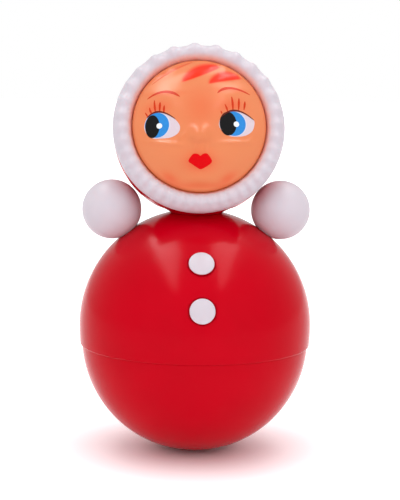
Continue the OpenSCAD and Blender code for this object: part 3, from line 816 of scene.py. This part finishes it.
# Vinyl from a polished mould: warm peach, slightly deeper where it flowed last, with an even gloss.
# Its IOR is matched to the weak mirror that the toy shows.
PEACH_COLOURS = (linear("ec8958"), linear("f29264"))
FACE_GLOSS = (0.2, 0.25)
FACE_IOR = 1.22
FLUSH_AND_SHADE_COLOUR = linear("f0603c")
HAIR_COLOUR = linear("fa3316")
FACE_MOTTLE = 30 * MM
peach_vinyl, tree, shader, place = new_finish(
    "vinyl_peach_airbrushed_and_painted_shade",
    {"Subsurface Weight": 0.12, "Subsurface Radius": (0.003, 0.0012, 0.0008), "IOR": FACE_IOR},
)
mottle_finish(tree, shader, place, FACE_MOTTLE, 3.0, PEACH_COLOURS, FACE_GLOSS)
peach = shader.inputs["Base Color"].links[0].from_socket
# The flush mask also carries painted reflection and shade on the forehead and chin.
flush_and_shade_mask = add_node(tree, "ShaderNodeAttribute", {}, attribute_name="flush_and_shade_paint")
flush_and_shade_mix = add_node(
    tree,
    "ShaderNodeMix",
    {"Factor": flush_and_shade_mask.outputs["Fac"], "A": peach, "B": FLUSH_AND_SHADE_COLOUR},
    data_type="RGBA",
)
hair_mask = add_node(tree, "ShaderNodeAttribute", {}, attribute_name="hair_paint")
hair_mix = add_node(
    tree,
    "ShaderNodeMix",
    {"Factor": hair_mask.outputs["Fac"], "A": flush_and_shade_mix.outputs["Result"], "B": HAIR_COLOUR},
    data_type="RGBA",
)
tree.links.new(hair_mix.outputs["Result"], shader.inputs["Base Color"])
set_in_head(face)
wear_finish(face, peach_vinyl)
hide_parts("face_mask")
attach(face, "head")

# Eyes
# Each eye is painted by hand in layers of enamel: the white, a pale rim, the blue iris, the black
# pupil and a glint. Every layer is a thin film with its own outline, laid over the one below.
PAINT_T = 0.03 * MM
PAINT_SINK = 0.15 * MM
PAINT_RINGS = 7
OUTLINE_STEPS = 6
BRUSH_MARK = 1.1 * MM
BRUSH_DEPTH = 0.05 * MM
ENAMEL_IOR = 1.17


def smooth_outline(points):
    """A closed smooth curve through listed points, in metres."""
    count = len(points)
    outline = []
    for i in range(count):
        a, b, c, d = (Vector(points[(i + k) % count]) for k in (-1, 0, 1, 2))
        for step in range(OUTLINE_STEPS):
            t = step / OUTLINE_STEPS
            p = b + 0.5 * t * (c - a + t * (2 * a - 5 * b + 4 * c - d + t * (3 * (b - c) + d - a)))
            outline.append(p * MM)
    return outline


def oval(centre, half_w, half_h, steps=48):
    """The outline of an oval, in metres."""
    turns = [math.tau * i / steps for i in range(steps)]
    return [(Vector(centre) + Vector((half_w * math.cos(t), half_h * math.sin(t)))) * MM for t in turns]


def lay_on_face(film, layer, finish):
    """Lays a flat film of paint on the face, gives it its thickness and sets it in the head."""
    for vertex in film.data.vertices:
        vertex.co.z = face_front(vertex.co.x, vertex.co.y) + layer * PAINT_T
    bpy.ops.object.mode_set(mode="EDIT")
    finish_mesh()
    thickness = film.modifiers.new("thickness", "SOLIDIFY")
    thickness.thickness = PAINT_SINK
    thickness.offset = -1
    bpy.ops.object.modifier_apply(modifier=thickness.name)
    bpy.ops.object.shade_smooth_by_angle(angle=math.radians(SHARP_ANGLE))
    set_in_head(film)
    wear_finish(film, finish)
    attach(film, "head")
    return film


def paint_patch(name, outline, layer, finish):
    """A patch of paint: its outline is drawn and extruded inwards, ring by ring, to its middle."""
    bpy.ops.object.select_all(action="DESELECT")
    bpy.ops.mesh.primitive_circle_add(vertices=len(outline), radius=MM)
    film = bpy.context.object
    film.name = film.data.name = name
    middle = sum(outline, Vector((0, 0))) / len(outline)
    for vertex, point in zip(film.data.vertices, outline):
        vertex.co = (point.x, point.y, 0)
    bpy.ops.object.mode_set(mode="EDIT")
    bpy.ops.mesh.select_all(action="SELECT")
    for ring in range(PAINT_RINGS, 1, -1):
        bpy.ops.mesh.extrude_edges_move()
        shrink = (ring - 1) / ring
        bpy.ops.transform.resize(value=(shrink, shrink, 1), center_override=(middle.x, middle.y, 0))
    bpy.ops.mesh.edge_face_add()
    bpy.ops.object.mode_set(mode="OBJECT")
    return lay_on_face(film, layer, finish)


def enamel(name, colour, shade, roughness):
    """Hand-painted enamel: an even satin gloss, with faint brush marks in its colour."""
    finish, tree, shader, place = new_finish(name, {"Roughness": roughness, "IOR": ENAMEL_IOR})
    marks = {"Vector": place, "Scale": 1 / BRUSH_MARK, "Detail": 3.0}
    brush = add_node(tree, "ShaderNodeTexNoise", marks)
    shades = {"Factor": brush.outputs["Fac"], "A": linear(shade), "B": linear(colour)}
    mix = add_node(tree, "ShaderNodeMix", shades, data_type="RGBA")
    tree.links.new(mix.outputs["Result"], shader.inputs["Base Color"])
    ridges = {"Height": brush.outputs["Fac"], "Strength": 0.1, "Distance": BRUSH_DEPTH}
    brush_bump = add_node(tree, "ShaderNodeBump", ridges)
    tree.links.new(brush_bump.outputs["Normal"], shader.inputs["Normal"])
    return finish


eye_white = enamel("enamel_eye_white", "e9d8e0", "dfcbd6", 0.3)
eye_rim = enamel("enamel_rim_pale", "e6e4f0", "dcdcec", 0.3)
eye_blue = enamel("enamel_sky_blue", "3a97e6", "2f88d8", 0.3)
eye_black = enamel("enamel_black", "1a1a1b", "131315", 0.3)
eye_glint = enamel("enamel_glint_white", "ffffff", "f4f4f6", 0.3)
LEFT_EYE = (
    (-26.9, -0.4), (-25.5, 2.8), (-22.8, 4.5), (-19.0, 4.6), (-15.0, 3.0),
    (-11.6, 0.0), (-10.1, -2.9), (-11.0, -5.8), (-14.4, -7.8), (-19.1, -8.1),
    (-22.9, -7.8), (-25.8, -5.5), (-27.0, -2.8),
)
RIGHT_EYE = (
    (8.7, -0.7), (9.9, 2.2), (12.7, 4.4), (16.5, 5.3), (20.4, 5.1),
    (23.4, 3.9), (26.0, 2.0), (26.4, -0.2), (25.2, -3.6), (22.2, -5.9),
    (18.3, -6.9), (14.2, -7.0), (10.9, -5.5), (9.0, -3.1),
)
# Each eye: its white, then the middle and half size of the iris and of the pupil, and the glint
EYES = (
    ("left", LEFT_EYE, (-21.0, -1.5), (5.75, 6.1), (-23.2, -2.0), (3.4, 5.6), (-19.9, -1.9)),
    ("right", RIGHT_EYE, (16.0, -0.7), (6.0, 6.0), (13.2, -0.9), (4.2, 5.8), (17.3, -0.9)),
)
GLINT_R = 1.35
RIM_W = 0.55
for side, white, iris_middle, iris_half, pupil_middle, pupil_half, glint_middle in EYES:
    paint_patch(f"{side}_eye_white", smooth_outline(white), 1, eye_white)
    rim_middle = (iris_middle[0] + RIM_W, iris_middle[1])
    paint_patch(f"{side}_eye_rim", oval(rim_middle, *iris_half), 2, eye_rim)
    paint_patch(f"{side}_iris", oval(iris_middle, *iris_half), 3, eye_blue)
    paint_patch(f"{side}_pupil", oval(pupil_middle, *pupil_half), 4, eye_black)
    paint_patch(f"{side}_glint", oval(glint_middle, GLINT_R, GLINT_R), 5, eye_glint)

# Lips
# A heart of bright red enamel, brushed on the moulded pout in one layer.
# It is a thin film like the eyes, a little glossier.
lip_red = enamel("enamel_lip_red", "ee000c", "e00009", 0.28)
LIPS = (
    (-6.0, -19.2), (-4.4, -16.5), (-3.1, -15.8), (-1.4, -16.0), (-0.3, -16.8),
    (0.8, -16.0), (2.2, -15.6), (3.5, -16.2), (5.4, -19.1), (4.1, -20.8),
    (1.4, -22.4), (-0.2, -22.9), (-1.9, -22.1), (-4.2, -20.7),
)
paint_patch("lips", smooth_outline(LIPS), 1, lip_red)

# Brows, lashes and lid lines
# Single strokes of enamel, red-brown on the brows and lashes, dark on the lids and orange on the
# hairline. Each is drawn with a fine brush that lifts off at its end.
STROKE_STEPS = 20
STROKE_ROWS = 4
STROKE_TIP = 0.15
STROKE_SPREAD = 1.2


def paint_stroke(name, points, width, taper, layer, finish):
    """A brush stroke through three points: a strip bent along them, widest at a share of its length."""
    bpy.ops.object.select_all(action="DESELECT")
    bpy.ops.mesh.primitive_grid_add(x_subdivisions=STROKE_STEPS, y_subdivisions=STROKE_ROWS, size=1)
    film = bpy.context.object
    film.name = film.data.name = name
    start, middle, end = (Vector(p) for p in points)
    pull = 2 * middle - (start + end) / 2
    for vertex in film.data.vertices:
        t = vertex.co.x + 0.5
        spine = (1 - t) ** 2 * start + 2 * t * (1 - t) * pull + t * t * end
        heading = (2 * (1 - t) * (pull - start) + 2 * t * (end - pull)).normalized()
        swell = t / taper if t < taper else (1 - t) / (1 - taper)
        half = STROKE_SPREAD * width * (STROKE_TIP + (1 - STROKE_TIP) * math.sqrt(max(0.0, swell)))
        spine += Vector((-heading.y, heading.x)) * vertex.co.y * half
        vertex.co = (spine.x * MM, spine.y * MM, 0)
    return lay_on_face(film, layer, finish)


brow_red = enamel("enamel_brow_red_brown", "de3c18", "ce3412", 0.35)
lid_dark = enamel("enamel_lid_dark", "7a2a1c", "5e1c14", 0.35)
BROWS = (
    ("left_brow", ((-25.6, 11.9), (-17.6, 15.0), (-10.1, 12.1)), 1.25, 0.75),
    ("right_brow", ((8.1, 14.1), (14.6, 17.1), (24.4, 14.6)), 1.25, 0.3),
)
LASHES = (
    ("left_lash_1", ((-26.6, 5.2), (-26.0, 4.1), (-25.3, 3.0)), 0.65, 0.6),
    ("left_lash_2", ((-24.5, 7.5), (-24.2, 5.8), (-23.3, 4.1)), 0.75, 0.6),
    ("left_lash_3", ((-22.2, 11.0), (-22.1, 8.0), (-21.7, 4.8)), 0.85, 0.6),
    ("left_lash_4", ((-19.5, 9.8), (-19.7, 7.2), (-19.7, 4.7)), 0.9, 0.3),
    ("left_lash_5", ((-17.5, 8.1), (-17.7, 6.3), (-17.7, 4.4)), 0.85, 0.5),
    ("right_lash_1", ((9.6, 5.2), (9.9, 4.5), (10.2, 3.7)), 0.65, 0.5),
    ("right_lash_2", ((11.6, 8.7), (12.4, 7.0), (13.0, 5.1)), 0.75, 0.6),
    ("right_lash_3", ((15.0, 12.7), (15.5, 9.3), (15.6, 5.7)), 0.95, 0.5),
    ("right_lash_4", ((18.7, 12.2), (18.6, 9.2), (18.4, 6.0)), 0.95, 0.4),
    ("right_lash_5", ((21.7, 10.9), (21.5, 8.7), (21.1, 6.4)), 0.9, 0.4),
)
HAIRLINE = ("hairline", ((-23.4, 19.4), (-13.8, 26.0), (-3.6, 31.0)), 0.8, 0.6)
LIDS = (
    ("left_lid", ((-25.9, 2.3), (-20.0, 5.0), (-12.3, 1.0)), 0.75, 0.4),
    ("right_lid", ((9.7, 2.0), (17.0, 5.8), (26.2, 1.9)), 0.75, 0.4),
)
for name, points, width, taper in BROWS + LASHES:
    paint_stroke(name, points, width, taper, 1, brow_red)
hair_orange = enamel("enamel_hair_orange", "ea6a3e", "e06036", 0.35)
paint_stroke(*HAIRLINE, 1, hair_orange)
for name, points, width, taper in LIDS:
    paint_stroke(name, points, width, taper, 6, lid_dark)

# Floor
# A plain white paper sweep that the toy stands on, with the soft shadow under the toy. Its white
# is painted on as a lift that grows with distance from the toy, so the floor round the toy stays
# darker as painted shade, and is pink there as a painted glow of light from the red.
FLOOR_SIZE = 8.0
FLOOR_WHITE = linear("f0eef0")
# Painted glow: the pink of light bounced from the red, near the toy.
PAINTED_FLOOR_GLOW = linear("ffccd2")
# Painted shade: the white lift is nought up to SHADOW_R from the toy and full at OPEN_R.
LIFT_NEAR = 0.0
LIFT_FAR = 0.84
SHADOW_R = 16 * MM
OPEN_R = 106 * MM


def background_rays(tree):
    """One for rays that show the background: straight, in a mirror or through clear material."""
    path = add_node(tree, "ShaderNodeLightPath", {})
    mirrored = add_node(
        tree,
        "ShaderNodeMath",
        {0: path.outputs["Is Camera Ray"], 1: path.outputs["Is Glossy Ray"]},
        operation="ADD",
    )
    shown = add_node(
        tree,
        "ShaderNodeMath",
        {0: mirrored.outputs["Value"], 1: path.outputs["Is Transmission Ray"]},
        operation="ADD",
        use_clamp=True,
    )
    return shown.outputs["Value"]


bpy.ops.object.select_all(action="DESELECT")
bpy.ops.mesh.primitive_plane_add(size=FLOOR_SIZE)
floor = bpy.context.object
floor.name = "floor"
# Matt paper: an even white with no gloss to speak of.
PAPER_GLOSS = 0.6
paper, tree, shader, place = new_finish(
    "paper_white_matt", {"Base Color": FLOOR_WHITE, "Roughness": PAPER_GLOSS}
)
spread = add_node(tree, "ShaderNodeVectorMath", {0: place}, operation="LENGTH")
painted_open_lift = add_node(
    tree,
    "ShaderNodeMapRange",
    {
        "Value": spread.outputs["Value"],
        "From Min": SHADOW_R,
        "From Max": OPEN_R,
        "To Min": LIFT_NEAR,
        "To Max": LIFT_FAR,
    },
)
floor_lift = add_node(
    tree,
    "ShaderNodeMath",
    {0: background_rays(tree), 1: painted_open_lift.outputs["Result"]},
    operation="MULTIPLY",
)
# Painted glow: the lift is pink near the toy and white away from it.
painted_glow_share = add_node(
    tree,
    "ShaderNodeMapRange",
    {"Value": spread.outputs["Value"], "From Min": SHADOW_R, "From Max": OPEN_R},
)
painted_glow_mix = add_node(
    tree,
    "ShaderNodeMix",
    {"Factor": painted_glow_share.outputs["Result"], "A": PAINTED_FLOOR_GLOW, "B": (1, 1, 1, 1)},
    data_type="RGBA",
)
tree.links.new(painted_glow_mix.outputs["Result"], shader.inputs["Emission Color"])
tree.links.new(floor_lift.outputs["Value"], shader.inputs["Emission Strength"])
wear_finish(floor, paper)

# Light
# Two long softboxes hang over the toy, left and right, and show in its gloss. A broad top light and two
# fills at the front light it evenly, and the white studio round it closes the view.
AMBIENT = 0.74
world = bpy.data.worlds.new("studio")
bpy.context.scene.world = world
world.use_nodes = True
tree = world.node_tree
background = tree.nodes["Background"]
level = add_node(tree, "ShaderNodeMix", {"Factor": background_rays(tree), "A": AMBIENT, "B": 1.0})
background.inputs["Color"].default_value = (1, 1, 1, 1)
tree.links.new(level.outputs["Result"], background.inputs["Strength"])

SOFTBOX_HEIGHT = 0.65
SOFTBOX_EDGE = 0.33
SOFTBOX_BACK = 0.35
# The glow of a softbox grows towards its edge, so it is stacked from strips: width and length of each
SOFTBOX_GLOW = 26
SOFTBOX_STEPS = ((0.21, 0.5), (0.17, 0.62), (0.13, 0.74), (0.09, 0.86), (0.05, 0.98))
TOP_PLACE = (0, -0.1, 0.95)
TOP_SIZE = 0.9
TOP_POWER = 1.8
FILL_LEFT = (-0.7, -0.95, 0.35)
FILL_RIGHT = (0.7, -0.95, 0.35)
FILL_SIZE = 0.9
FILL_POWER = 2.2
LIGHT_AIM = (0, 0, 0.1)


def hang_lamp(name, location, width, length, power, aim):
    """A rectangular soft lamp that points at a place."""
    lamp = bpy.data.lights.new(name, "AREA")
    lamp.shape = "RECTANGLE"
    lamp.size, lamp.size_y = width, length
    lamp.energy = power
    holder = bpy.data.objects.new(name, lamp)
    bpy.context.scene.collection.objects.link(holder)
    holder.location = location
    holder.rotation_euler = (Vector(aim) - Vector(location)).to_track_quat("-Z", "Y").to_euler()
    return holder


for side in (-1, 1):
    for width, length in SOFTBOX_STEPS:
        above = (side * (SOFTBOX_EDGE - width / 2), SOFTBOX_BACK - length / 2, SOFTBOX_HEIGHT)
        below = (above[0], above[1], 0)
        power = SOFTBOX_GLOW * width * length
        softbox = hang_lamp("softbox", above, width, length, power, below)
        softbox.visible_diffuse = False
SOFT_LIGHTS = (
    ("top", TOP_PLACE, TOP_SIZE, TOP_POWER),
    ("fill_left", FILL_LEFT, FILL_SIZE, FILL_POWER),
    ("fill_right", FILL_RIGHT, FILL_SIZE, FILL_POWER),
)
for name, spot, width, power in SOFT_LIGHTS:
    soft_light = hang_lamp(name, spot, width, width, power, LIGHT_AIM)
    soft_light.visible_glossy = False

# Camera
# It stands a little left of the toy at the height of its head, and looks slightly down on it.
# A long lens keeps the toy free of distortion.
CAMERA_PLACE = (-0.0502, -0.8076, 0.2112)
CAMERA_YAW = 3.704
CAMERA_PITCH = -7.743
CAMERA_ROLL = 0.776
CAMERA_LENS = 117.07
camera = bpy.data.objects.new("camera", bpy.data.cameras.new("camera"))
bpy.context.scene.collection.objects.link(camera)
camera.data.lens = CAMERA_LENS
camera.location = CAMERA_PLACE
level_look = Euler((math.radians(90 + CAMERA_PITCH), 0, math.radians(-CAMERA_YAW))).to_matrix()
camera.rotation_euler = (level_look @ Matrix.Rotation(math.radians(CAMERA_ROLL), 3, "Z")).to_euler()
bpy.context.scene.camera = camera
bpy.context.scene.view_settings.view_transform = "Standard"
